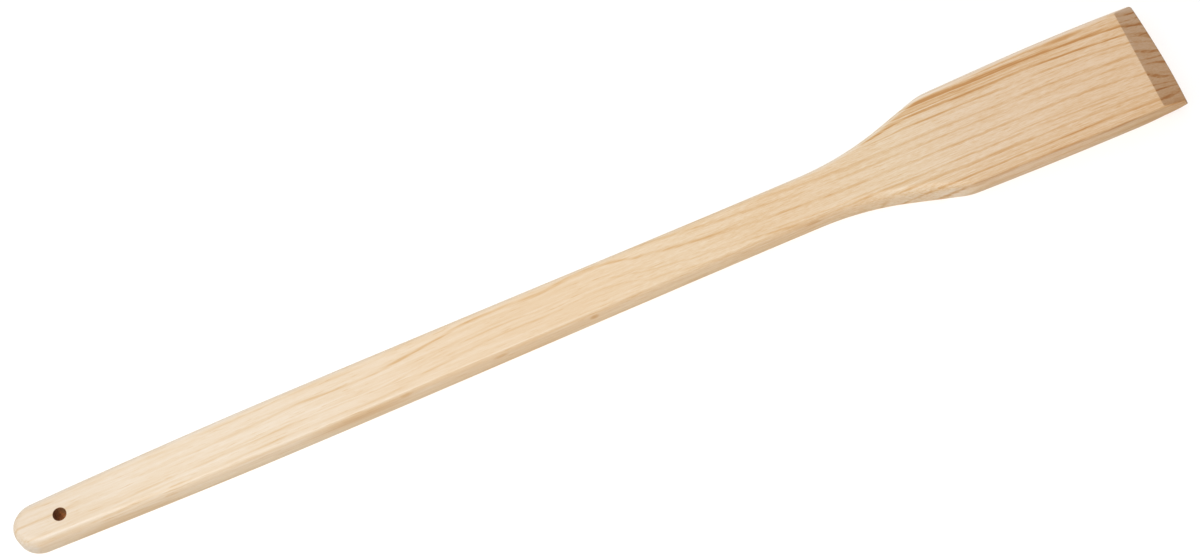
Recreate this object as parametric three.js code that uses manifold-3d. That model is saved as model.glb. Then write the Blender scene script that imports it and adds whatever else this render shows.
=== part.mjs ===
// A wooden stirring paddle shaped from one board: a bellied flat handle with a round, drilled end, a neck
// that flares through sloping shoulders into a broad flat blade, and a bevel across the tip of the blade.
// Millimetres. The paddle lies on its flat back, with +X towards the tip, +Y to its left and +Z up through
// the board. Places along the paddle are measured from the handle's end, and the origin is under its middle.

import * as THREE from 'three';
import { mergeVertices } from 'three/addons/utils/BufferGeometryUtils.js';
import Module from 'manifold-3d';

// Board
const paddleLength = 914;
const boardThickness = 20;

// Handle
const handleEndWidth = 35;
const handleEndLength = 19;
const gripWidth = 41.6;
const gripFromEnd = 212;
const neckWidth = 38.2;
const handleEdgeRadius = 4.5;

// Hanging hole, drilled a little to the right of the middle
const holeDiameter = 10;
const holeFromEnd = 37.2;
const holeOffset = 0.8;

// Blade: the left shoulder lies nearer to the handle's end than the right one, as it was sawn by hand
const bladeLength = 174.6;
const shoulderStagger = 6;
const flankLength = 72.5;
const shoulderWidth = 84.4;
const bladeWidth = 89;
const widestFromTip = 33;
const flareRadius = 225;
const shoulderRadius = 45;
const bladeEdgeRadius = 2.2;

// Tip: its edge bows out by the crown, runs slightly out of square and lies between a bevel on the face and
// a rounded run-out on the back
const tipCrown = 1.5;
const tipSkew = 3.1;
const leftCornerLength = 2.2;
const rightCornerLength = 0.8;
const bevelRun = 18;
const bevelEndHeight = 13;
const thinningLength = 103;
const thinningDepth = 2.6;
const backRunOut = 40;
const backRise = 6;

// The most that one rounded edge may take of the board's thickness, and of a corner that it goes round
const mostEdgeShare = 0.45;
const mostCornerShare = 0.6;

// Fineness of the curves, and how far the cutting shapes reach past the board
const curveSteps = 8;
const roundEndSteps = 24;
const edgeSteps = 3;
const holeSides = 32;
const overcut = 5;

const wasm = await Module();
wasm.setup();

// A closed solid from a geometry, by its positions alone.
function solidFrom(geometry) {
  const bare = geometry.clone();
  bare.deleteAttribute('normal');
  bare.deleteAttribute('uv');
  const merged = mergeVertices(bare);
  return new wasm.Manifold(new wasm.Mesh({
    numProp: 3,
    vertProperties: new Float32Array(merged.attributes.position.array),
    triVerts: new Uint32Array(merged.index.array),
  }));
}

// A three.js geometry from a finished solid.
function geometryFrom(solid) {
  const mesh = solid.getMesh();
  const geometry = new THREE.BufferGeometry();
  geometry.setAttribute('position', new THREE.BufferAttribute(mesh.vertProperties, 3));
  geometry.setIndex(new THREE.BufferAttribute(mesh.triVerts, 1));
  geometry.computeVertexNormals();
  return geometry;
}

// Where one side's flank would meet its blade edge if the shoulder were sharp. Both sides share the stagger.
function shoulderPlace(side) {
  return paddleLength - bladeLength - side * shoulderStagger / 2;
}

// Where both flanks would meet the neck's edges if the flare were sharp.
const flareCorner = paddleLength - bladeLength - flankLength;

// Where the tip's edge would meet one side if the corner were sharp. The furthest point of the bowed, skewed
// edge lies on the paddle's full length.
function tipCorner(side) {
  const lead = tipSkew ** 2 / (16 * tipCrown);
  return new THREE.Vector2(paddleLength - lead - tipCrown - side * tipSkew / 2, side * bladeWidth / 2);
}

// The tip's bowed edge from right to left, as points between the two rounded corners.
function tipEdge() {
  const right = tipCorner(-1);
  const left = tipCorner(1);
  const bow = new THREE.Vector2((right.x + left.x) / 2 + 2 * tipCrown, 0);
  const curve = new THREE.QuadraticBezierCurve(right, bow, left);
  const start = rightCornerLength / bladeWidth;
  const end = 1 - leftCornerLength / bladeWidth;
  const steps = 2 * curveSteps;
  const places = Array.from({ length: steps + 1 }, (_, k) => THREE.MathUtils.lerp(start, end, k / steps));
  return places.map((place) => curve.getPoint(place));
}

// One side's edge seen from above, from the round end to the tip, at positive Y. It swells to the grip,
// draws in to the neck, sweeps round the flare, runs straight up the flank, rounds the shoulder and bows
// gently to the tip.
function sideEdge(side) {
  const endRadius = handleEndWidth / 2;
  const grip = gripWidth / 2;
  const neck = neckWidth / 2;
  const shoulder = new THREE.Vector2(shoulderPlace(side), shoulderWidth / 2);
  const widest = new THREE.Vector2(paddleLength - widestFromTip, bladeWidth / 2);
  const corner = new THREE.Vector2(tipCorner(side).x, bladeWidth / 2);
  const cornerLength = side < 0 ? rightCornerLength : leftCornerLength;
  const tip = tipEdge().at(side < 0 ? 0 : -1);
  const flankAngle = Math.atan2(shoulder.y - neck, shoulder.x - flareCorner);
  const neckEnd = flareCorner - flareRadius * Math.tan(flankAngle / 2);
  const swell = (gripFromEnd - handleEndLength) / 3;
  const swellRise = (grip - endRadius) / 2;
  const drawIn = (neckEnd - gripFromEnd) / 3;
  const bowStart = (shoulder.x + widest.x) / 2;
  const bowAngle = Math.atan2(widest.y - shoulder.y, bowStart - shoulder.x);
  const shoulderReach = shoulderRadius * Math.tan((flankAngle - bowAngle) / 2);
  const shoulderCentre = new THREE.Vector2(
    shoulder.x + shoulderReach * Math.cos(bowAngle) + shoulderRadius * Math.sin(bowAngle),
    shoulder.y + shoulderReach * Math.sin(bowAngle) - shoulderRadius * Math.cos(bowAngle),
  );
  const quarterTurn = Math.PI / 2;

  const edge = new THREE.Path();
  edge.moveTo(handleEndLength, endRadius);
  edge.bezierCurveTo(
    handleEndLength + swell, endRadius + swellRise, gripFromEnd - swell, grip, gripFromEnd, grip,
  );
  edge.bezierCurveTo(gripFromEnd + drawIn, grip, neckEnd - drawIn, neck, neckEnd, neck);
  edge.absarc(neckEnd, neck + flareRadius, flareRadius, -quarterTurn, flankAngle - quarterTurn, false);
  edge.absarc(
    shoulderCentre.x,
    shoulderCentre.y,
    shoulderRadius,
    quarterTurn + flankAngle,
    quarterTurn + bowAngle,
    true,
  );
  edge.quadraticCurveTo(bowStart, widest.y, widest.x, widest.y);
  edge.lineTo(corner.x - cornerLength, corner.y);
  edge.quadraticCurveTo(corner.x, corner.y, tip.x, side * tip.y);
  return edge.getPoints(curveSteps);
}

// The whole outline seen from above, anticlockwise: right side, tip, left side, round end.
function outline() {
  const left = sideEdge(1);
  const right = sideEdge(-1).map((point) => new THREE.Vector2(point.x, -point.y));
  const quarterTurn = Math.PI / 2;
  const roundEnd = new THREE.EllipseCurve(
    handleEndLength, 0, handleEndLength, handleEndWidth / 2, quarterTurn, 3 * quarterTurn,
  );
  const end = roundEnd.getPoints(roundEndSteps);
  return [...right, ...tipEdge().slice(1, -1), ...left.reverse(), ...end.slice(1, -1)];
}

// The edges' rounding at a place along the paddle: soft on the handle, crisper on the blade, changing over
// the flare. The board's thickness limits it, and so do the corners of the tip.
function edgeRadiusAt(x) {
  const onBlade = THREE.MathUtils.smoothstep(x, flareCorner, paddleLength - bladeLength);
  const onTip = THREE.MathUtils.smoothstep(x, paddleLength - widestFromTip, paddleLength - bevelRun);
  const atSides = THREE.MathUtils.lerp(handleEdgeRadius, bladeEdgeRadius, onBlade);
  const atTip = Math.min(bladeEdgeRadius, mostCornerShare * Math.min(leftCornerLength, rightCornerLength));
  return Math.min(THREE.MathUtils.lerp(atSides, atTip, onTip), mostEdgeShare * boardThickness);
}

// The board with its edges rounded: rings of the outline, drawn inwards and stepped up a quarter circle at
// the back, then up the side and a quarter circle to the face, closed by a flat face at each end.
function roundedBoard() {
  const points = outline();
  const count = points.length;
  const inward = points.map((point, i) => {
    const before = points[(i + count - 1) % count];
    const after = points[(i + 1) % count];
    const arriving = point.clone().sub(before).normalize();
    const leaving = after.clone().sub(point).normalize();
    const along = arriving.add(leaving).normalize();
    return new THREE.Vector2(-along.y, along.x);
  });
  const angles = Array.from({ length: edgeSteps + 1 }, (_, k) => k / edgeSteps * Math.PI / 2);
  const backRings = angles.map((angle) => ({ angle, fromFace: false }));
  const faceRings = angles.map((angle) => ({ angle, fromFace: true })).reverse();
  const rings = [...backRings, ...faceRings].map(({ angle, fromFace }) => points.map((point, i) => {
    const radius = edgeRadiusAt(point.x);
    const flat = point.clone().addScaledVector(inward[i], radius * (1 - Math.sin(angle)));
    const depth = radius * (1 - Math.cos(angle));
    return new THREE.Vector3(flat.x, flat.y, fromFace ? boardThickness - depth : depth);
  }));

  const positions = rings.flat().flatMap((point) => point.toArray());
  const index = [];
  for (let ring = 0; ring < rings.length - 1; ring += 1) {
    for (let i = 0; i < count; i += 1) {
      const next = (i + 1) % count;
      const lower = ring * count;
      const upper = lower + count;
      index.push(lower + i, lower + next, upper + next);
      index.push(lower + i, upper + next, upper + i);
    }
  }
  const flatRing = rings[0].map((point) => new THREE.Vector2(point.x, point.y));
  const top = (rings.length - 1) * count;
  for (const [a, b, c] of THREE.ShapeUtils.triangulateShape(flatRing, [])) {
    index.push(c, b, a);
    index.push(top + a, top + b, top + c);
  }
  const geometry = new THREE.BufferGeometry();
  geometry.setAttribute('position', new THREE.Float32BufferAttribute(positions, 3));
  geometry.setIndex(index);
  return geometry;
}

// A shape drawn from the side, carried across the whole blade.
function acrossBlade(shape) {
  const width = bladeWidth + 2 * overcut;
  const geometry = new THREE.ExtrudeGeometry(shape, {
    depth: width,
    bevelEnabled: false,
    curveSegments: curveSteps,
  });
  geometry.rotateX(Math.PI / 2);
  geometry.translate(0, width / 2, 0);
  return geometry;
}

// What is planed off the face: it sinks along a parabola to the bevel's straight upper edge, and the bevel
// runs on down to the tip.
function faceRelief() {
  const start = paddleLength - thinningLength;
  const bevelStart = paddleLength - bevelRun;
  const bevelTop = boardThickness - thinningDepth;
  const steepness = (bevelTop - bevelEndHeight) / bevelRun;
  const pastTip = paddleLength + overcut;
  const aboveFace = boardThickness + overcut;
  const shape = new THREE.Shape();
  shape.moveTo(start, aboveFace);
  shape.lineTo(start, boardThickness);
  shape.quadraticCurveTo((start + bevelStart) / 2, boardThickness, bevelStart, bevelTop);
  shape.lineTo(pastTip, bevelEndHeight - steepness * overcut);
  shape.lineTo(pastTip, aboveFace);
  return acrossBlade(shape);
}

// What is rounded off the back: it lifts along a parabola towards the tip.
function backRelief() {
  const start = paddleLength - backRunOut;
  const steepness = 2 * backRise / backRunOut;
  const pastTip = paddleLength + overcut;
  const shape = new THREE.Shape();
  shape.moveTo(start, -overcut);
  shape.lineTo(pastTip, -overcut);
  shape.lineTo(pastTip, backRise + steepness * overcut);
  shape.lineTo(paddleLength, backRise);
  shape.quadraticCurveTo((start + paddleLength) / 2, 0, start, 0);
  return acrossBlade(shape);
}

// The hanging hole, drilled square through the handle's end.
function hangingHole() {
  const geometry = new THREE.CylinderGeometry(
    holeDiameter / 2, holeDiameter / 2, boardThickness + 2 * overcut, holeSides,
  );
  geometry.rotateX(Math.PI / 2);
  geometry.translate(holeFromEnd, -holeOffset, boardThickness / 2);
  return geometry;
}

const cuts = [faceRelief(), backRelief(), hangingHole()];
const shaped = cuts.reduce((solid, cut) => solid.subtract(solidFrom(cut)), solidFrom(roundedBoard()));

const pine = new THREE.MeshStandardMaterial({ color: 0xe3bf8f, roughness: 0.68, metalness: 0 });
const paddle = new THREE.Mesh(geometryFrom(shaped), pine);
paddle.name = 'stirring_paddle';
paddle.position.x = -paddleLength / 2;

const stirringPaddle = new THREE.Group();
stirringPaddle.add(paddle);

export default stirringPaddle;
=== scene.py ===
"""Wooden stirring paddle: one shaped pine board, lying on a pale studio floor."""
import math

import bmesh
import bpy
import numpy as np
from mathutils import Matrix, Vector


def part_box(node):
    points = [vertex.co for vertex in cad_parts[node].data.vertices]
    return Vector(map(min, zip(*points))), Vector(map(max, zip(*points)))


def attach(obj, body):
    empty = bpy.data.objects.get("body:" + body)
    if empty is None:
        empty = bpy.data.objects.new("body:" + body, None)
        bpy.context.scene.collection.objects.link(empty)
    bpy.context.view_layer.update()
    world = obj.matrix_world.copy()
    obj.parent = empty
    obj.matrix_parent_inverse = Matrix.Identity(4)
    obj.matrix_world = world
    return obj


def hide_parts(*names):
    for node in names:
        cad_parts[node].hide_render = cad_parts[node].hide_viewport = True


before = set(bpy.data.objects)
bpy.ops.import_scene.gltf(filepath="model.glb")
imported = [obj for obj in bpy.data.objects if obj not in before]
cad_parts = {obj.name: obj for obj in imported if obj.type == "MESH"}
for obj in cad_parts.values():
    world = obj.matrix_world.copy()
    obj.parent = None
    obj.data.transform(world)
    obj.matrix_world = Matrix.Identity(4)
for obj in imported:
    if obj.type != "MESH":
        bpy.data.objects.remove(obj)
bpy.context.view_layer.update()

# Sizes in millimetres. Places along the board are measured from the handle's end, and +Y is the left edge.
MM = 0.001
board_low, board_high = (np.array(corner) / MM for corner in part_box("stirring_paddle"))
LENGTH, BLADE_WIDTH, THICKNESS = board_high - board_low

# Handle
END_LENGTH = 19.0
END_WIDTH = 35.0
GRIP_FROM_END = 212.0
GRIP_WIDTH = 41.6
NECK_WIDTH = 38.2
HOLE_DIAMETER = 10.0
HOLE_FROM_END = 37.2
HOLE_OFFSET = -0.8
HOLE_EASING = 0.4

# Blade
BLADE_LENGTH = 174.6
FLANK_LENGTH = 72.5
SHOULDER_WIDTH = 84.4
SHOULDER_STAGGER = 6.0
FLARE_RADIUS = 225.0
SHOULDER_RADIUS = 45.0
WIDEST_FROM_TIP = 33.0
TIP_CROWN = 1.5
TIP_SKEW = 3.1
LEFT_CORNER = 2.4
RIGHT_CORNER = 1.0

# Faces. The thinning is worked out to THINNING_END of its run, past the arris, where the bevel cuts it off.
BEVEL_RUN = 18.0
BEVEL_END_HEIGHT = 13.0
THINNING_LENGTH = 103.0
THINNING_DEPTH = 2.6
THINNING_END = 1.2
ARRIS_EASING = 0.12
BACK_RUN_OUT = 40.0
BACK_RISE = 6.0
END_LEAN = 1.4
END_LEAN_RUN = 14.0

# Rounded edges: radius at places along the board. An upper edge turns by its nose radius as far as EDGE_TURN,
# and then by its side radius, which is larger on the right of the handle, where the side is bowed.
EDGE_PLACES = (
    0.0, 50.0, 120.0, 240.0, 560.0, 660.0, 715.0, 750.0, 860.0, LENGTH - BEVEL_RUN, LENGTH - 7.0, LENGTH,
)
LEFT_RADII = (5.5, 4.5, 4.5, 4.5, 4.5, 4.0, 3.4, 3.2, 3.2, 3.2, 1.0, 1.0)
RIGHT_NOSE_RADII = (7.0, 5.0, 2.8, 1.4, 1.2, 4.0, 6.0, 2.2, 2.0, 1.6, 0.5, 0.5)
RIGHT_SIDE_RADII = (9.0, 11.0, 11.0, 11.0, 11.0, 11.0, 9.0, 2.4, 2.0, 1.6, 0.5, 0.5)
BACK_RADII = (3.6, 3.6, 3.6, 3.6, 3.6, 3.0, 2.6, 2.2, 2.2, 2.0, 0.5, 0.5)
EDGE_TURN = math.radians(60)
EDGE_SUPPORT = 0.4
SIDES_MEET = 8.0

# Mesh steps. Stations down a side come in stretches: by the hole, handle, neck, blade, arris and bevel.
END_STEPS = 30
HOLE_STRETCH_END = 62.0
HANDLE_STRETCH_END = 600.0
ARRIS_STRETCH = 2.0
STRETCH_STEPS = (28, 150, 90, 44, 16, 12)
TIP_STEPS = 40
CORNER_STEPS = 4
EDGE_STEPS = 12
WALL_STEPS = 6
HOLE_WINDOW = 7.5
HOLE_RINGS = 6
HOLE_RING_SPACING = 0.7
HOLE_EASING_STEPS = 4
HOLE_WALL_STEPS = 10
MERGE_DISTANCE = 0.0005
SLIVER_WIDTH = 0.0001
OUTLINE_DISTANCE = "outline_distance"


def smooth_step(value, start, end):
    """0 before start, 1 after end, and 3t^2 - 2t^3 between them."""
    t = np.clip((value - start) / (end - start), 0, 1)
    return t * t * (3 - 2 * t)


def half_width(along, side):
    """Half the board's width at each distance from the handle's end, on the left (side +1) or the right (-1).

    A cubic swells from the end to the grip, and a second one draws in to the neck. Then come an arc that
    opens outwards, the straight flank, an arc back at the shoulder, and a flat parabola to the full width.
    """
    end, grip, neck, blade = END_WIDTH / 2, GRIP_WIDTH / 2, NECK_WIDTH / 2, BLADE_WIDTH / 2
    shoulder = np.array((LENGTH - BLADE_LENGTH - side * SHOULDER_STAGGER / 2, SHOULDER_WIDTH / 2))
    flare_corner = LENGTH - BLADE_LENGTH - FLANK_LENGTH
    widest = LENGTH - WIDEST_FROM_TIP
    flank_angle = math.atan2(shoulder[1] - neck, shoulder[0] - flare_corner)
    bow_middle = (shoulder[0] + widest) / 2
    bow_angle = math.atan2(blade - shoulder[1], bow_middle - shoulder[0])
    neck_end = flare_corner - FLARE_RADIUS * math.tan(flank_angle / 2)
    flare_end = neck_end + FLARE_RADIUS * math.sin(flank_angle)
    tangent = SHOULDER_RADIUS * math.tan((flank_angle - bow_angle) / 2)
    turn_start = shoulder - tangent * np.array((math.cos(flank_angle), math.sin(flank_angle)))
    turn_end = shoulder + tangent * np.array((math.cos(bow_angle), math.sin(bow_angle)))
    turn_centre = turn_start + SHOULDER_RADIUS * np.array((math.sin(flank_angle), -math.cos(flank_angle)))

    t = np.clip((along - END_LENGTH) / (GRIP_FROM_END - END_LENGTH), 0, 1)
    rest = 1 - t
    swell = end * rest ** 3 + 1.5 * (end + grip) * rest ** 2 * t + grip * (3 * rest * t ** 2 + t ** 3)
    draw_in = grip + (neck - grip) * smooth_step(along, GRIP_FROM_END, neck_end)
    flare = neck + FLARE_RADIUS - np.sqrt(np.maximum(FLARE_RADIUS ** 2 - (along - neck_end) ** 2, 0))
    flank = neck + (along - flare_corner) * math.tan(flank_angle)
    turn = turn_centre[1] + np.sqrt(np.maximum(SHOULDER_RADIUS ** 2 - (along - turn_centre[0]) ** 2, 0))
    run = np.clip(along - turn_end[0], 0, widest - turn_end[0])
    lead = 2 * (bow_middle - turn_end[0])
    t = 2 * run / (lead + np.sqrt(lead ** 2 + 4 * (widest - turn_end[0] - lead) * run))
    bow = blade - (blade - turn_end[1]) * (1 - t) ** 2
    limits = (GRIP_FROM_END, neck_end, flare_end, turn_start[0], turn_end[0])
    return np.select([along < limit for limit in limits], (swell, draw_in, flare, flank, turn), bow)


def tip_edge(across):
    """Distance of the tip's cut edge from the handle's end: a parabola across, a little out of square."""
    lead = TIP_SKEW ** 2 / (16 * TIP_CROWN)
    t = across / BLADE_WIDTH + 0.5
    return LENGTH - lead - TIP_CROWN * (2 * t - 1) ** 2 - TIP_SKEW * (t - 0.5)


def tip_corner(side, t):
    """Points (along, across) round a tip corner: a quadratic curve from the side (t 0) to the tip (t 1)."""
    length = LEFT_CORNER if side > 0 else RIGHT_CORNER
    edge = side * BLADE_WIDTH / 2
    inner = side * (BLADE_WIDTH / 2 - length)
    point = np.array((tip_edge(edge), edge))
    start, end = point - (length, 0), np.array((tip_edge(inner), inner))
    t = t[:, None]
    return start * (1 - t) ** 2 + 2 * point * t * (1 - t) + end * t ** 2


def side_curve(side):
    """Points (along, across) down one side.

    A quarter ellipse rounds the end. Then come the half widths at stations, and half the tip corner.
    """
    angle = np.linspace(0, math.pi / 2, END_STEPS, endpoint=False)
    end = np.stack((END_LENGTH * (1 - np.cos(angle)), side * END_WIDTH / 2 * np.sin(angle)), 1)
    corner = tip_corner(side, np.linspace(0, 0.5, CORNER_STEPS + 1))
    arris = LENGTH - BEVEL_RUN
    stops = (
        END_LENGTH, HOLE_STRETCH_END, HANDLE_STRETCH_END, LENGTH - THINNING_LENGTH,
        arris - ARRIS_STRETCH, arris + ARRIS_STRETCH, corner[0, 0],
    )
    stretches = zip(stops[:-1], stops[1:], STRETCH_STEPS)
    along = np.concatenate([np.linspace(*stretch, endpoint=False) for stretch in stretches])
    return np.concatenate((end, np.stack((along, side * half_width(along, side)), 1), corner))


def tip_curve():
    """Points (along, across) over the tip from right to left: half a corner, the cut edge, half a corner."""
    t = np.linspace(0.5, 1, CORNER_STEPS + 1)
    right, left = tip_corner(-1, t), tip_corner(1, t)[::-1]
    across = np.linspace(right[-1, 1], left[0, 1], TIP_STEPS + 2)[1:-1]
    return np.concatenate((right, np.stack((tip_edge(across), across), 1), left))


def top_height(along):
    """Height of the upper face: flat, then a parabola that thins the blade, then the straight bevel.

    The face and the bevel are joined by a smooth minimum, which eases the arris between them.
    """
    arris = LENGTH - BEVEL_RUN
    sink = np.clip((along - LENGTH + THINNING_LENGTH) / (THINNING_LENGTH - BEVEL_RUN), 0, THINNING_END)
    face = THICKNESS - THINNING_DEPTH * sink ** 2
    arris_height = THICKNESS - THINNING_DEPTH
    bevel = arris_height - (along - arris) * (arris_height - BEVEL_END_HEIGHT) / BEVEL_RUN
    return (face + bevel - np.sqrt((face - bevel) ** 2 + ARRIS_EASING ** 2)) / 2


def back_height(along):
    """Height of the back: flat on the floor, then a parabola that lifts it towards the tip."""
    return BACK_RISE * np.clip((along - LENGTH + BACK_RUN_OUT) / BACK_RUN_OUT, 0, None) ** 2


def turned_edge(line, nose, side):
    """Plan points and drops round an edge, a row per line point: a face, the nose's arc, then the side's arc.

    Both arcs are circular. They meet at EDGE_TURN, and their insets go along the line's inward normal.
    """
    angle = np.linspace(0, math.pi / 2, EDGE_STEPS + 1)
    sine, cosine = np.sin(angle), np.cos(angle)
    turn_sine, turn_cosine = math.sin(EDGE_TURN), math.cos(EDGE_TURN)
    nose, side = nose[:, None], side[:, None]
    inset = side * (1 - np.maximum(sine, turn_sine)) + nose * (turn_sine - np.minimum(sine, turn_sine))
    nose_drop = nose * (1 - np.maximum(cosine, turn_cosine))
    drop = nose_drop + side * (turn_cosine - np.minimum(cosine, turn_cosine))
    inset = np.concatenate((inset[:, :1] + EDGE_SUPPORT * nose, inset), 1)
    drop = np.concatenate((np.zeros_like(nose), drop), 1)
    tangent = np.roll(line, -1, 0) - np.roll(line, 1, 0)
    inward = np.stack((-tangent[:, 1], tangent[:, 0]), 1) / np.linalg.norm(tangent, axis=1, keepdims=True)
    return line[:, None] + inward[:, None] * inset[..., None], drop


def edge_rings(outline):
    """Grid of points, one row per outline point, round the board's edge from the upper face to the back.

    Each row turns down from the upper face, runs down the wall and turns in under the back. Towards the tip
    the lower outline stands out by a smooth step, so that the end leans. Left and right radii blend over the
    round end.
    """
    left, right_nose, right_side, back_radius = (
        np.interp(outline[:, 0], EDGE_PLACES, radii)
        for radii in (LEFT_RADII, RIGHT_NOSE_RADII, RIGHT_SIDE_RADII, BACK_RADII)
    )
    left_share = smooth_step(outline[:, 1], -SIDES_MEET, SIDES_MEET)
    nose = right_nose + (left - right_nose) * left_share
    side = right_side + (left - right_side) * left_share
    lean = END_LEAN * smooth_step(outline[:, 0], LENGTH - END_LEAN_RUN, LENGTH)
    foot = outline + np.stack((lean, np.zeros_like(lean)), 1)
    top_plan, top_drop = turned_edge(outline, nose, side)
    back_plan, back_drop = turned_edge(foot, back_radius, back_radius)
    top = np.dstack((top_plan, top_height(top_plan[..., 0]) - top_drop))
    back = np.dstack((back_plan, back_height(back_plan[..., 0]) + back_drop))[:, ::-1]
    share = np.linspace(0, 1, WALL_STEPS + 1)[1:-1, None]
    wall = top[:, -1:] * (1 - share) + back[:, :1] * share
    return np.concatenate((top, wall, back), 1)


def face_grid(rim, rows, columns, height):
    """Grid of points over one face, inside its rim: straight lines from the right rim to the left one.

    Past the arris the lines bow more and more, until the last one follows the cut edge.
    """
    right = rim[:rows]
    left = rim[-np.arange(rows)]
    tip = rim[rows - 1:rows - 1 + columns]
    arris = LENGTH - BEVEL_RUN
    spread = (tip[:, 1] - tip[0, 1]) / (tip[-1, 1] - tip[0, 1])
    weight = smooth_step(right[:, 0], LENGTH - BLADE_LENGTH, arris)[:, None]
    share = (np.linspace(0, 1, columns) * (1 - weight) + spread * weight)[..., None]
    bow = np.clip((right[:, 0] - arris) / (right[-1, 0] - arris), 0, 1)[:, None, None]
    chord = tip[0] * (1 - spread[:, None]) + tip[-1] * spread[:, None]
    plan = right[:, None] * (1 - share) + left[:, None] * share + bow * (tip - chord)
    return np.dstack((plan, height(plan[..., 0])))


def hole_rays(border):
    """Unit vectors in plan from the hole's centre towards each point of a window's border."""
    ray = border[:, :2] - (HOLE_FROM_END, HOLE_OFFSET)
    return ray / np.linalg.norm(ray, axis=1, keepdims=True)


def hole_rings(border, ray, height, way):
    """Grid of points from a face's window to half the hole's depth.

    Straight lines run to the rim. Then come its easing, a quarter circle, and the straight wall. Way is +1
    for the upper face and -1 for the back. Both faces share the same rays, so their walls meet.
    """
    centre = np.array((HOLE_FROM_END, HOLE_OFFSET))
    radius = HOLE_DIAMETER / 2
    rim = centre + ray * (radius + HOLE_EASING)
    share = (np.linspace(0, 1, HOLE_RINGS + 1) ** HOLE_RING_SPACING)[:, None, None]
    flat = border[:, :2] * (1 - share) + rim * share
    flat = np.dstack((flat, np.full(flat.shape[:2], height)))
    angle = np.linspace(0, math.pi / 2, HOLE_EASING_STEPS + 1)[1:, None]
    out = np.concatenate((radius + HOLE_EASING * (1 - np.sin(angle)), np.full((HOLE_WALL_STEPS, 1), radius)))
    eased = height - way * HOLE_EASING * (1 - np.cos(angle))
    wall = np.linspace(eased[-1], THICKNESS / 2, HOLE_WALL_STEPS + 1)[1:]
    depth = np.broadcast_to(np.concatenate((eased, wall)), (len(out), len(ray)))
    return np.concatenate((flat, np.dstack((centre + ray * out[..., None], depth))))


def window(grid):
    """First and last row and column of the face grid's window round the hole."""
    middle = grid.shape[1] // 2
    rows = np.flatnonzero(np.abs(grid[:, middle, 0] - HOLE_FROM_END) < HOLE_WINDOW)
    columns = np.flatnonzero(np.abs(grid[rows[0], :, 1] - HOLE_OFFSET) < HOLE_WINDOW)
    return rows[0], rows[-1], columns[0], columns[-1]


def window_border(grid, first, last, start, stop):
    """The face grid's points round the window, in order, with the first one again at the end."""
    return np.concatenate((
        grid[first:last, start], grid[last, start:stop],
        grid[last:first:-1, stop], grid[first, stop:start:-1],
        grid[first:first + 1, start],
    ))


def outline_distance(points):
    """Distance of each point (along, across) in from the outline: its side's half width, less its own."""
    along, across = points.T
    left, right = half_width(along, 1), half_width(along, -1)
    return np.where(across > 0, left, right) - np.abs(across)


def mesh_object(name, grids):
    """One closed mesh from grids of points, each with faces to leave out, joined where the borders meet."""
    points, faces, count = [], [], 0
    for grid, gap in grids:
        index = count + np.arange(grid.shape[0] * grid.shape[1]).reshape(grid.shape[:2])
        quads = np.stack((index[:-1, :-1], index[:-1, 1:], index[1:, 1:], index[1:, :-1]), -1)
        keep = np.ones(quads.shape[:2], bool)
        if gap:
            keep[gap[0]:gap[1], gap[2]:gap[3]] = False
        points.append(grid.reshape(-1, 3))
        faces.append(quads[keep])
        count += index.size
    points = (np.concatenate(points) + (board_low[0], 0, board_low[2])) * MM
    mesh = bpy.data.meshes.new(name)
    mesh.from_pydata(points.tolist(), [], np.concatenate(faces).tolist())
    joined = bmesh.new()
    joined.from_mesh(mesh)
    bmesh.ops.remove_doubles(joined, verts=joined.verts, dist=MERGE_DISTANCE * MM)
    bmesh.ops.dissolve_degenerate(joined, edges=joined.edges, dist=SLIVER_WIDTH * MM)
    bmesh.ops.recalc_face_normals(joined, faces=joined.faces)
    joined.to_mesh(mesh)
    joined.free()
    mesh.shade_smooth()
    places = np.empty(len(mesh.vertices) * 3)
    mesh.vertices.foreach_get("co", places)
    plan = places.reshape(-1, 3)[:, :2] / MM - (board_low[0], 0)
    mesh.attributes.new(OUTLINE_DISTANCE, "FLOAT", "POINT").data.foreach_set("value", outline_distance(plan))
    piece = bpy.data.objects.new(name, mesh)
    bpy.context.scene.collection.objects.link(piece)
    return piece


def paddle():
    """The board: a rounded edge, an upper face and a back inside it, and the hole's wall between them."""
    right, left, tip = side_curve(-1), side_curve(1), tip_curve()
    rows, columns = len(right), len(tip)
    outline = np.concatenate((right, tip[1:-1], left[:0:-1]))
    rings = edge_rings(outline)
    top = face_grid(rings[:, 0, :2], rows, columns, top_height)
    back = face_grid(rings[:, -1, :2], rows, columns, back_height)
    gap = window(top)
    upper, lower = window_border(top, *gap), window_border(back, *gap)
    ray = hole_rays(upper)
    return mesh_object("paddle_board", (
        (np.concatenate((rings, rings[:1])), None),
        (top, gap),
        (back, gap),
        (hole_rings(upper, ray, THICKNESS, 1), None),
        (hole_rings(lower, ray, 0.0, -1), None),
    ))


board = paddle()
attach(board, "root")
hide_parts("stirring_paddle")

# Pine. Places are in millimetres, and ALONG spans read the share of the length from the handle's end. A span
# gives two readings and the values that they turn into. A noise gives its repeats per millimetre along,
# across and through the board, then its detail and roughness.

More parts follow.
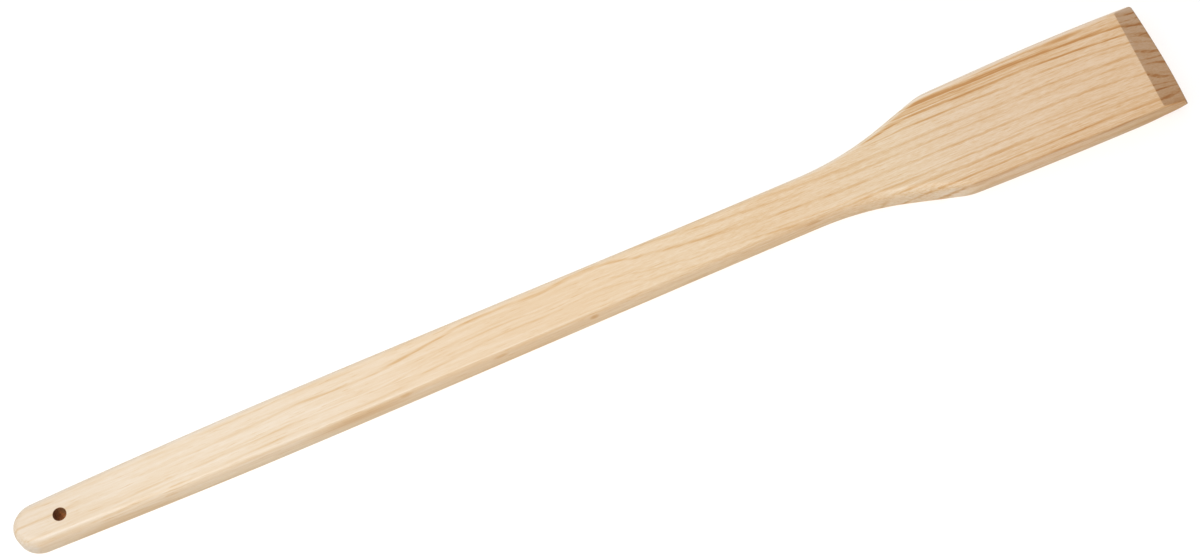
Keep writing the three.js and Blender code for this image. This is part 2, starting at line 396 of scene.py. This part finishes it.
# Growth rings: how far the grain drifts to the left at places along the board, and what shifts and bends it
GRAIN_DRIFT = (
    (0, 8.5), (80, 10), (190, 12.2), (228, 13.4), (255, 12.2), (280, 11.8), (302, 13.2), (322, 15.6),
    (340, 17.8), (385, 21), (420, 20), (460, 22.5), (480, 20.5), (500, 16), (520, 13), (560, 8), (600, 4.5),
    (640, 2), (710, 0.5), (760, 0), (840, -1.2), (LENGTH, -3.5),
)
DRIFT_RANGE = (-5.0, 25.0)
RING_SLANT = (-30.0, -14.0, -0.5, 1.0)
EDGE_DEPTH = (0.05, 4.05, 0.0, 4.0)
EDGE_SHIFT = (12.0, 26.0, 0.0, 3.0)
BEND_ALONG = (0.727, 0.793, 8.5, 0.0)
BEND_ACROSS = (17.0, 22.0, 0.0, 1.0)
WANDER_NOISE = ((0.010, 0.05, 0.05), 1.0, 0.5)
WANDER_REACH = 3.0
RIPPLE_NOISE = ((0.045, 0.22, 0.22), 2.0, 0.5)
RIPPLE_REACH = 1.4
SINK_STOPS = 20

# Which way a surface faces, where it is end grain or the near side
END_GRAIN_TO_TIP = (0.12, 0.22, 0.0, 1.0)
SIDE_UP = (0.4, 0.9, 1.0, 0.0)
SIDE_TO_LEFT = (0.1, 0.4, 1.0, 0.0)
SIDE_TO_TIP = (-0.35, -0.10, 0.0, 1.0)

# Late-wood lines: place across the rings, strength, fade towards the right and towards the left
LEFT_LINES = (
    (2.4, 0.3, 2.0, 2.0), (9.0, 0.317, 2.2, 2.4), (17.4, 0.183, 1.0, 1.0), (20.3, 0.55, 1.1, 1.6),
    (27.2, 1.042, 0.8, 1.5), (34.8, 0.958, 1.0, 3.8), (47, 0.5, 1.2, 2.4), (54, 0.667, 1.2, 2.6),
    (60.5, 0.583, 1.2, 2.6),
)
RIGHT_LINES = (
    (-56, 0.5, 1.2, 2.0), (-49.5, 0.25, 1.2, 1.6), (-43.8, 0.792, 2.2, 1.7), (-36.0, 0.667, 1.1, 1.3),
    (-27.2, 0.458, 1.6, 1.9), (-23.6, 0.117, 0.9, 0.9), (-20.1, 0.4, 1.2, 1.2), (-17.6, 0.2, 1.0, 1.2),
    (-8.0, 0.383, 1.5, 1.9),
)
LINE_RANGE = 66.0
PATCH_NOISE = ((0.012, 0.09, 0.09), 2.0, 0.5)
PATCH_READINGS = (0.3, 0.7)
PATCH_LEAST_ALONG = (0.5, 0.72, 0.25, 0.85)
PATCH_MOST = 1.5
FEATHER_NOISE = ((0.03, 0.45, 0.45), 2.0, 0.5)
FEATHER = (0.35, 0.65, 0.40, 1.35)
SIDE_LINES_ALONG = (0.70, 0.79, 0.15, 0.95)
BEVEL_LINES = 0.45
HANDLE_LINES_ALONG = (0.5, 0.72, 0.58, 1.0)
NEAR_READINGS = (-34.0, -30.0)
NEAR_LINES_ALONG = (0.60, 0.70, 0.2, 1.0)

# Rings on the bevel's end grain, darker towards the right
WAVE_RATE = 0.78
WAVE_WANDER = 20.0
WAVE = (0.35, 1.0, 0.03, 0.66)
WAVE_FEATHER = (0.40, 1.35, 0.4, 1.6)
BEVEL_ACROSS = (-40.0, 36.0, 0.10, -0.16)

# The long line on the far half of the handle
VEIN_RIGHT = (-9.0, -7.4, 0.0, 1.0)
VEIN_LEFT = (-7.4, -5.4, 1.0, 0.0)
VEIN_START_ALONG = (0.16, 0.24, 0.0, 0.32)
VEIN_END_ALONG = (0.58, 0.66, 1.0, 0.0)

# Darker streaky zones on both sides of the blade
LEFT_ZONE_RIGHT = (24.0, 33.0, 0.0, 0.26)
LEFT_ZONE_LEFT = (41.0, 43.5, 1.0, 0.0)
LEFT_ZONE_ALONG = (0.82, 0.96, 2.1, 0.35)
RIGHT_ZONE = (-36.0, -22.0, 0.14, 0.0)
ZONES_ALONG = (0.6, 0.75, 0.0, 1.0)
STREAK_NOISE = ((0.008, 0.8, 0.8), 2.0, 0.5)
STREAKS = (0.32, 0.68, 0.0, 2.0)
BEVEL_ZONES = 0.2
SIDE_ZONES = 0.0
SIDE_STREAKS = 0.08

# Flecks, and fibres that show more on the blade than on the handle
FLECK_NOISE = ((0.05, 0.8, 0.8), 2.0, 0.6)
FLECKS = (0.58, 0.75, 0.0, 0.40)
MOTTLE_NOISE = ((0.02, 0.42, 0.42), 2.0, 0.5)
MOTTLE_REACH = 0.46
FIBRE_NOISE = ((0.018, 1.3, 1.3), 3.0, 0.6)
FIBRE_REACH_ALONG = (0.45, 0.64, 0.24, 0.52)
FINE_NOISE = ((0.16, 1.7, 1.7), 3.0, 0.65)
FINE_REACH_ALONG = (0.45, 0.64, 0.36, 1.18)

# Pale rim along the far edge, a little wider at the shoulder: mostly painted sheen, a grazing reflection of
# bright surroundings, and partly paler worn wood
RIM_INSET = (2.2, 4.6, 1.0, 0.0)
RIM_ACROSS = (9.0, 12.0, 0.0, 1.0)
RIM_UP = (0.05, 0.35, 0.0, 1.0)
RIM_ALONG = (0.62, 0.75, 0.25, 1.0)
WIDER_START_ALONG = (0.785, 0.81, 0.0, 1.0)
WIDER_END_ALONG = (0.84, 0.92, 0.7, 0.0)
RIM_STAIN = 0.30
RIM_PALER = -0.15

# Knots, brown flecks and, with a negative strength, pale patches: middle, half lengths and strength
MARKS = (
    ((453, -20.6, 14), (5, 5, 3.5), 0.75),
    ((379, -20.8, 15), (8, 5, 3), 0.4),
    ((304, -20.8, 17), (7, 5, 2.5), 0.35),
    ((627, -19.4, 14), (10, 5, 2.5), 0.45),
    ((853, 38.8, 18), (25, 2.6, 6), 0.66),
    ((267, -20.6, 14), (58, 5, 7.5), 0.46),
    ((84, -18.5, 8), (60, 6, 8), 0.28),
    ((730, -39, 8), (26, 9, 10), -0.42),
    ((895, -44, 9), (45, 6, 14), 0.16),
    ((909, -44, 10), (12, 5, 9), 0.26),
    ((700, -20.5, 20), (28, 2.2, 3), 0.36),
    ((775, 25, 19), (45, 2.6, 4), 0.2),
    ((866, 9, 18), (24, 4.5, 4), -0.17),
)
MARK_FADE = (0.2, 1.0)

# Colours: unstained wood at places along the board, partly its own tone and partly painted light, brighter
# and paler towards the handle, and what the tints multiply it by
PALE_WOOD_AND_LIGHT_FALLOFF = (
    (0, (0.687, 0.595, 0.492)), (120, (0.721, 0.625, 0.509)), (240, (0.731, 0.627, 0.505)),
    (335, (0.731, 0.597, 0.446)), (457, (0.735, 0.587, 0.421)), (530, (0.730, 0.586, 0.419)),
    (620, (0.723, 0.561, 0.386)), (700, (0.732, 0.593, 0.434)), (760, (0.720, 0.566, 0.413)),
    (LENGTH, (0.715, 0.518, 0.341)),
)
LATE_TINT = (0.75, 0.535, 0.305)
MOST_STAIN = 1.4
EVEN_STAIN = 0.15
STAIN_STOPS = 8
# Partly the end grain's own darker colour, partly painted shade on the bevel, which turns away from the
# light.
END_GRAIN_AND_SHADE_TINT = (0.655, 0.585, 0.54, 1)
# Painted sheen on the far rim, with some paler worn wood.
RIM_SHEEN_TINT = (1.07, 1.15, 1.28, 1)
TIP_SIDE_TINT = (0.925, 0.955, 0.945, 1)
TIP_SIDE_ALONG = (0.89, 0.96, 0.0, 1.0)

# Painted light and shade, as tints at shares of the board's thickness from the back up: the near side,
# darkest at the floor like a contact shadow and lighter near its top, and the hole's wall, darkened as in
# shade
SIDE_LIGHT_AND_SHADE_TINTS = (
    (0.0, (0.80, 0.76, 0.69)), (0.25, (0.985, 0.935, 0.84)),
    (0.46, (1.055, 1.015, 0.94)), (0.75, (1.06, 1.02, 0.97)),
)
# Painted shade in the hole: its wall turned a deep brown that gets darker towards the top.
HOLE_SHADE_TINTS = ((0.2, (0.86, 0.50, 0.22)), (0.6, (0.68, 0.38, 0.16)), (1.0, (0.38, 0.19, 0.08)))
HOLE_TINT_START = HOLE_DIAMETER / 2 + 0.5
HOLE_TINT_FULL = HOLE_DIAMETER / 2 + 0.1

# Sheen of the surface, which follows the fibres, and the depth of the fine fibres
ROUGHNESS = (0.2, 0.8, 0.42, 0.56)
BUMP_STRENGTH = 0.12
BUMP_DEPTH = 0.05


class Recipe:
    """Short ways to add shader nodes to one material. An input is a socket to link or a value to set."""

    def __init__(self, name):
        self.material = bpy.data.materials.new(name)
        self.material.use_nodes = True
        self.tree = self.material.node_tree
        self.shader = self.tree.nodes["Principled BSDF"]

    def feed(self, target, value):
        """Link the target to a socket, or set its own value."""
        if isinstance(value, bpy.types.NodeSocket):
            self.tree.links.new(value, target)
        else:
            target.default_value = value

    def add(self, kind, inputs=(), **settings):
        """A new node with its settings and inputs."""
        node = self.tree.nodes.new(kind)
        for key, value in settings.items():
            setattr(node, key, value)
        for key, value in dict(inputs).items():
            self.feed(node.inputs[key], value)
        return node

    def math(self, operation, a, b=0.0, c=0.0):
        """One operation on up to three numbers."""
        return self.add("ShaderNodeMath", {0: a, 1: b, 2: c}, operation=operation).outputs[0]

    def product(self, *factors):
        """All the factors multiplied together."""
        result = factors[0]
        for factor in factors[1:]:
            result = self.math("MULTIPLY", result, factor)
        return result

    def vary(self, noise, reach, base):
        """The base plus the reach times the noise's distance from its mean."""
        return self.math("MULTIPLY_ADD", self.math("SUBTRACT", noise, 0.5), reach, base)

    def span(self, value, low, high, to_low=0.0, to_high=1.0, smooth=True):
        """The value's place from low to high, turned into to_low to to_high and held at the ends."""
        kind = "SMOOTHSTEP" if smooth else "LINEAR"
        inputs = {0: value, 1: low, 2: high, 3: to_low, 4: to_high}
        return self.add("ShaderNodeMapRange", inputs, interpolation_type=kind).outputs[0]

    def fade(self, mask, value):
        """1 where the mask is 0, and the value where the mask is 1."""
        return self.span(mask, 0.0, 1.0, 1.0, value)

    def vector(self, operation, a, b):
        """One vector operation's node."""
        return self.add("ShaderNodeVectorMath", {0: a, 1: b}, operation=operation)

    def ramp(self, value, stops):
        """Colour between stops, each with its place from 0 to 1."""
        node = self.add("ShaderNodeValToRGB", {0: value})
        elements = node.color_ramp.elements
        while len(elements) < len(stops):
            elements.new(0.5)
        for element, (place, colour) in zip(elements, stops):
            element.position = place
            element.color = (*colour, 1)
        return node.outputs[0]

    def curve(self, value, stops):
        """Number on a smooth curve through stops, each with its place and its number from 0 to 1."""
        node = self.add("ShaderNodeFloatCurve", {"Value": value})
        points = node.mapping.curves[0].points
        while len(points) < len(stops):
            points.new(0.5, 0.5)
        for point, stop in zip(points, stops):
            point.location = stop
        node.mapping.update()
        return node.outputs[0]

    def tint(self, share, base, colour):
        """The base multiplied by the colour, by a share from 0 to 1."""
        node = self.add("ShaderNodeMix", data_type="RGBA", blend_type="MULTIPLY")
        inputs = {socket.identifier: socket for socket in node.inputs}
        self.feed(inputs["Factor_Float"], share)
        self.feed(inputs["A_Color"], base)
        self.feed(inputs["B_Color"], colour)
        return next(socket for socket in node.outputs if socket.identifier == "Result_Color")


def line_stops(lines, low):
    """Grey ramp stops for late-wood lines: bright at each line's place, and black where its fades end."""
    stops = []
    for place, strength, right_fade, left_fade in lines:
        for spot, grey in ((place - right_fade, 0), (place, strength), (place + left_fade, 0)):
            stops.append(((spot - low) / LINE_RANGE, (grey,) * 3))
    return stops


class Pine(Recipe):
    """Sanded pine, with drifting late-wood lines, fine fibres, end grain on the bevel and a hole darkened
    with painted shade.

    The steps stand in the order in which they run, and keep the sockets that later steps read.
    """

    def __init__(self):
        super().__init__("pine_wood")
        self.read_places()
        self.read_facing()
        self.grow_rings()
        lines = self.late_wood()
        lines = self.math("MULTIPLY_ADD", self.end_grain_rings(), self.end_grain, lines)
        lines = self.product(lines, self.span(self.share, *HANDLE_LINES_ALONG))
        near = self.span(self.ring, *NEAR_READINGS, self.span(self.share, *NEAR_LINES_ALONG), 1.0)
        lines = self.math("ADD", self.product(lines, near), self.vein())
        lines = self.math("ADD", lines, self.zones())
        stain = self.sheen_rim_and_streaks(self.fibres(lines))
        self.paint(self.mark(stain))

    def noise(self, repeats, detail, rough):
        """Noise on the places in millimetres, times the repeats along, across and through the board."""
        vector = self.vector("MULTIPLY", self.place, repeats).outputs[0]
        inputs = {"Vector": vector, "Scale": 1.0, "Detail": detail, "Roughness": rough}
        return self.add("ShaderNodeTexNoise", inputs).outputs[0]

    def read_places(self):
        """Millimetres across and up the board, and the share of its length."""
        self.coordinates = self.add("ShaderNodeTexCoord")
        inputs = {0: self.coordinates.outputs["Object"], "Scale": 1 / MM}
        self.place = self.add("ShaderNodeVectorMath", inputs, operation="SCALE").outputs[0]
        along, self.across, self.height = self.add("ShaderNodeSeparateXYZ", {0: self.place}).outputs
        self.share = self.span(along, float(board_low[0]), float(board_high[0]), smooth=False)

    def read_facing(self):
        """Masks for the end grain and the near side, from spans of the surface's normal."""
        inputs = {0: self.coordinates.outputs["Normal"]}
        to_tip, to_left, self.up = self.add("ShaderNodeSeparateXYZ", inputs).outputs
        self.end_grain = self.span(to_tip, *END_GRAIN_TO_TIP)
        wall = self.span(self.up, *SIDE_UP)
        self.side = self.product(wall, self.span(to_left, *SIDE_TO_LEFT), self.span(to_tip, *SIDE_TO_TIP))

    def grow_rings(self):
        """Place across the growth rings, in millimetres.

        It is the place across less the grain's drift, plus a bend at the far shoulder, a shift down the far
        edge, the depth times a slant, and two noises.
        """
        low, high = DRIFT_RANGE
        stops = [(along / LENGTH, (drift - low) / (high - low)) for along, drift in GRAIN_DRIFT]
        drift = self.span(self.curve(self.share, stops), 0.0, 1.0, low, high, smooth=False)
        straight = self.math("SUBTRACT", self.across, drift)
        depth = self.math("SUBTRACT", float(THICKNESS), self.height)
        along = np.linspace(LENGTH - THINNING_LENGTH, LENGTH, SINK_STOPS)
        sinks = 1 - top_height(along) / THICKNESS
        sink = self.ramp(self.share, [(place / LENGTH, (sink,) * 3) for place, sink in zip(along, sinks)])
        below = self.math("SUBTRACT", depth, self.product(sink, float(THICKNESS)))
        edge = self.product(self.span(below, *EDGE_DEPTH, smooth=False), self.span(straight, *EDGE_SHIFT))
        bend = self.product(self.span(self.share, *BEND_ALONG), self.span(straight, *BEND_ACROSS))
        ring = self.math("ADD", self.math("ADD", straight, bend), edge)
        ring = self.math("MULTIPLY_ADD", depth, self.span(straight, *RING_SLANT), ring)
        self.wander = self.noise(*WANDER_NOISE)
        ring = self.vary(self.wander, WANDER_REACH, ring)
        self.ring = self.vary(self.noise(*RIPPLE_NOISE), RIPPLE_REACH, ring)

    def late_wood(self):
        """Stain of the late-wood lines: ramps across the rings, times patchy and feathery noise.

        It is weaker on the near side and on the bevel.
        """
        right = self.span(self.ring, -LINE_RANGE, 0.0, smooth=False)
        left = self.span(self.ring, 0.0, LINE_RANGE, smooth=False)
        right_lines = self.ramp(right, line_stops(RIGHT_LINES, -LINE_RANGE))
        left_lines = self.ramp(left, line_stops(LEFT_LINES, 0.0))
        least = self.span(self.share, *PATCH_LEAST_ALONG)
        patches = self.span(self.noise(*PATCH_NOISE), *PATCH_READINGS, least, PATCH_MOST)
        self.feather = self.span(self.noise(*FEATHER_NOISE), *FEATHER)
        on_side = self.fade(self.side, self.span(self.share, *SIDE_LINES_ALONG))
        on_bevel = self.fade(self.end_grain, BEVEL_LINES)
        lines = self.math("ADD", right_lines, left_lines)
        return self.product(lines, patches, self.feather, on_side, on_bevel)

    def end_grain_rings(self):
        """Stain of the bevel's rings: a sine of the ring's place plus noise, feathered, and a fall across."""
        phase = self.math("MULTIPLY_ADD", self.wander, WAVE_WANDER, self.product(self.ring, WAVE_RATE))
        wave = self.span(self.math("SINE", phase), *WAVE)
        wave = self.product(wave, self.span(self.feather, *WAVE_FEATHER, smooth=False))
        return self.math("ADD", wave, self.span(self.across, *BEVEL_ACROSS))

    def vein(self):
        """Stain of the long line on the handle: a smooth ridge across the rings, feathered."""
        ridge = self.product(self.span(self.ring, *VEIN_RIGHT), self.span(self.ring, *VEIN_LEFT))
        along = (self.span(self.share, *VEIN_START_ALONG), self.span(self.share, *VEIN_END_ALONG))
        return self.product(ridge, self.feather, *along)

    def zones(self):
        """Stain of the blade's darker zones: smooth bands across the rings, times long streaks of noise."""
        left = self.product(
            self.span(self.ring, *LEFT_ZONE_RIGHT),
            self.span(self.ring, *LEFT_ZONE_LEFT),
            self.span(self.share, *LEFT_ZONE_ALONG),
        )
        both = self.math("ADD", left, self.span(self.ring, *RIGHT_ZONE))
        self.streaks = self.span(self.noise(*STREAK_NOISE), *STREAKS)
        faces = (self.fade(self.end_grain, BEVEL_ZONES), self.fade(self.side, SIDE_ZONES))
        return self.product(both, self.streaks, *faces, self.span(self.share, *ZONES_ALONG))

    def fibres(self, stain):
        """The stain plus flecks and three noises, of which the two finest are stronger on the blade."""
        self.fibre = self.noise(*FIBRE_NOISE)
        self.fine = self.noise(*FINE_NOISE)
        stain = self.math("ADD", stain, self.span(self.noise(*FLECK_NOISE), *FLECKS))
        stain = self.vary(self.noise(*MOTTLE_NOISE), MOTTLE_REACH, stain)
        stain = self.vary(self.fibre, self.span(self.share, *FIBRE_REACH_ALONG), stain)
        return self.vary(self.fine, self.span(self.share, *FINE_REACH_ALONG), stain)

    def sheen_rim_and_streaks(self, stain):
        """The stain, weaker on the far rim, where painted sheen makes it pale, and streaky on the near side.

        The rim is a span of the distance in from the outline, on the far half and on surfaces that face up.
        """
        inset = self.add("ShaderNodeAttribute", attribute_name=OUTLINE_DISTANCE).outputs["Fac"]
        start, end = self.span(self.share, *WIDER_START_ALONG), self.span(self.share, *WIDER_END_ALONG)
        inset = self.math("SUBTRACT", inset, self.product(start, end))
        self.rim = self.product(
            self.span(inset, *RIM_INSET),
            self.span(self.across, *RIM_ACROSS),
            self.span(self.up, *RIM_UP),
            self.span(self.share, *RIM_ALONG),
        )
        # Painted sheen: less stain, and paler, on the far rim.
        stain = self.product(stain, self.fade(self.rim, RIM_STAIN))
        stain = self.math("MULTIPLY_ADD", self.rim, RIM_PALER, stain)
        return self.math("MULTIPLY_ADD", self.product(self.side, self.streaks), SIDE_STREAKS, stain)

    def mark(self, stain):
        """The stain plus each mark: its strength, fading with distance from its middle in half lengths."""
        for middle, reach, strength in MARKS:
            centre = (middle[0] - LENGTH / 2, middle[1], middle[2])
            offset = self.vector("SUBTRACT", self.place, centre).outputs[0]
            offset = self.vector("MULTIPLY", offset, [1 / length for length in reach]).outputs[0]
            distance = self.add("ShaderNodeVectorMath", {0: offset}, operation="LENGTH").outputs[1]
            stain = self.math("ADD", stain, self.span(distance, *MARK_FADE, strength, 0.0))
        return stain

    def paint(self, stain):
        """Colour, roughness and fine relief.

        The colour is the pale wood, with its painted light along the board, times the late-wood tint to the
        power of the stain, then times each tint; most tints paint light and shade.
        """
        stain = self.span(stain, -EVEN_STAIN, MOST_STAIN - EVEN_STAIN, smooth=False)
        shades = np.linspace(0, 1, STAIN_STOPS)
        tints = np.array(LATE_TINT) ** (shades[:, None] * MOST_STAIN)
        stained = self.ramp(stain, list(zip(shades, tints)))
        # Painted light: the pale wood's drift along the board holds a fall-off of light from the handle to
        # the tip.
        pale = self.ramp(self.share, [(along / LENGTH, colour) for along, colour in PALE_WOOD_AND_LIGHT_FALLOFF])
        colour = self.tint(1.0, pale, stained)
        # Painted sheen: the far rim paler and bluer, as a grazing reflection, partly paler worn wood.
        colour = self.tint(self.rim, colour, RIM_SHEEN_TINT)
        # Painted shade and darker end grain on the bevel.
        colour = self.tint(self.end_grain, colour, END_GRAIN_AND_SHADE_TINT)
        rise = self.span(self.height, 0.0, float(THICKNESS), smooth=False)
        # Painted light and shade on the near side: darkest at the floor and lighter towards the top.
        colour = self.tint(self.side, colour, self.ramp(rise, SIDE_LIGHT_AND_SHADE_TINTS))
        tip_side = self.product(self.side, self.span(self.share, *TIP_SIDE_ALONG))
        colour = self.tint(tip_side, colour, TIP_SIDE_TINT)
        # Painted shade on the hole's wall.
        flat = self.vector("MULTIPLY", self.place, (1, 1, 0)).outputs[0]
        centre = (HOLE_FROM_END - LENGTH / 2, HOLE_OFFSET, 0)
        from_hole = self.vector("DISTANCE", flat, centre).outputs[1]
        in_hole = self.span(from_hole, HOLE_TINT_FULL, HOLE_TINT_START, 1.0, 0.0)
        colour = self.tint(in_hole, colour, self.ramp(rise, HOLE_SHADE_TINTS))
        self.feed(self.shader.inputs["Base Color"], colour)

        roughness = self.math("MAXIMUM", self.span(self.fibre, *ROUGHNESS), in_hole)
        self.feed(self.shader.inputs["Roughness"], roughness)
        relief = {"Height": self.fine, "Strength": BUMP_STRENGTH, "Distance": BUMP_DEPTH * MM}
        self.feed(self.shader.inputs["Normal"], self.add("ShaderNodeBump", relief).outputs[0])


board.data.materials.append(Pine().material)

# Stage: floor, light and camera, in metres. The floor's gap keeps it out of the plane of the board's back.
FLOOR_SIZE = 30.0
FLOOR_GAP = 0.0003
FLOOR_COLOUR = (0.93, 0.93, 0.93, 1)
FLOOR_ROUGHNESS = 0.9
SKY_COLOUR = (1, 1, 1, 1)
SKY_STRENGTH = 0.42
PADDLE_LAMP_PLACE = (-0.70, -0.32, 2.37)
PADDLE_LAMP_SIZE = 1.5
PADDLE_LAMP_POWER = 56.2
FLOOR_LAMP_PLACE = (-4.0, -2.0, 6.6)
FLOOR_LAMP_SIZE = 5.0
FLOOR_LAMP_POWER = 640.0
CAMERA_EYE = (-0.04461, -1.05620, 2.17728)
CAMERA_TARGET = (0.01039, 0.00368, 0.020)
CAMERA_ROLL = 20.26
CAMERA_LENS = 98.34
CAMERA_SENSOR = 36.0
CAMERA_REACH = 100.0


def soft_lamp(name, lit, place, size, power):
    """A square lamp that faces the origin and lights one object."""
    lamp = bpy.data.lights.new(name, "AREA")
    lamp.size = size
    lamp.energy = power
    item = bpy.data.objects.new(name, lamp)
    item.location = place
    item.rotation_euler = (-Vector(place)).to_track_quat("-Z", "Y").to_euler()
    bpy.context.scene.collection.objects.link(item)
    receivers = bpy.data.collections.new(name + "_lights")
    receivers.objects.link(lit)
    item.light_linking.receiver_collection = receivers
    return lamp


def studio():
    """A pale floor, an even sky, a soft lamp for the paddle, and a wide one without shadows for the floor."""
    mesh = bpy.data.meshes.new("floor")
    half = FLOOR_SIZE / 2
    corners = [(x * half, y * half, -FLOOR_GAP) for x, y in ((-1, -1), (1, -1), (1, 1), (-1, 1))]
    mesh.from_pydata(corners, [], [(0, 1, 2, 3)])
    floor = bpy.data.objects.new("floor", mesh)
    bpy.context.scene.collection.objects.link(floor)
    paint = bpy.data.materials.new("floor_paint")
    paint.use_nodes = True
    shader = paint.node_tree.nodes["Principled BSDF"]
    shader.inputs["Base Color"].default_value = FLOOR_COLOUR
    shader.inputs["Roughness"].default_value = FLOOR_ROUGHNESS
    shader.inputs["Specular IOR Level"].default_value = 0.0
    mesh.materials.append(paint)

    sky = bpy.data.worlds.new("sky")
    sky.use_nodes = True
    background = sky.node_tree.nodes["Background"]
    background.inputs["Color"].default_value = SKY_COLOUR
    background.inputs["Strength"].default_value = SKY_STRENGTH
    bpy.context.scene.world = sky

    soft_lamp("paddle_lamp", board, PADDLE_LAMP_PLACE, PADDLE_LAMP_SIZE, PADDLE_LAMP_POWER)
    soft_lamp("floor_lamp", floor, FLOOR_LAMP_PLACE, FLOOR_LAMP_SIZE, FLOOR_LAMP_POWER).use_shadow = False
    bpy.context.scene.view_settings.view_transform = "Standard"


def camera():
    """A long lens above the near edge, turned about its axis so that the paddle lies across the picture."""
    data = bpy.data.cameras.new("camera")
    data.sensor_width = CAMERA_SENSOR
    data.lens = CAMERA_LENS
    data.clip_end = CAMERA_REACH
    item = bpy.data.objects.new("camera", data)
    eye = Vector(CAMERA_EYE)
    turn = (Vector(CAMERA_TARGET) - eye).to_track_quat("-Z", "Y").to_matrix().to_4x4()
    item.matrix_world = Matrix.Translation(eye) @ turn @ Matrix.Rotation(math.radians(-CAMERA_ROLL), 4, "Z")
    bpy.context.scene.collection.objects.link(item)
    bpy.context.scene.camera = item


studio()
camera()
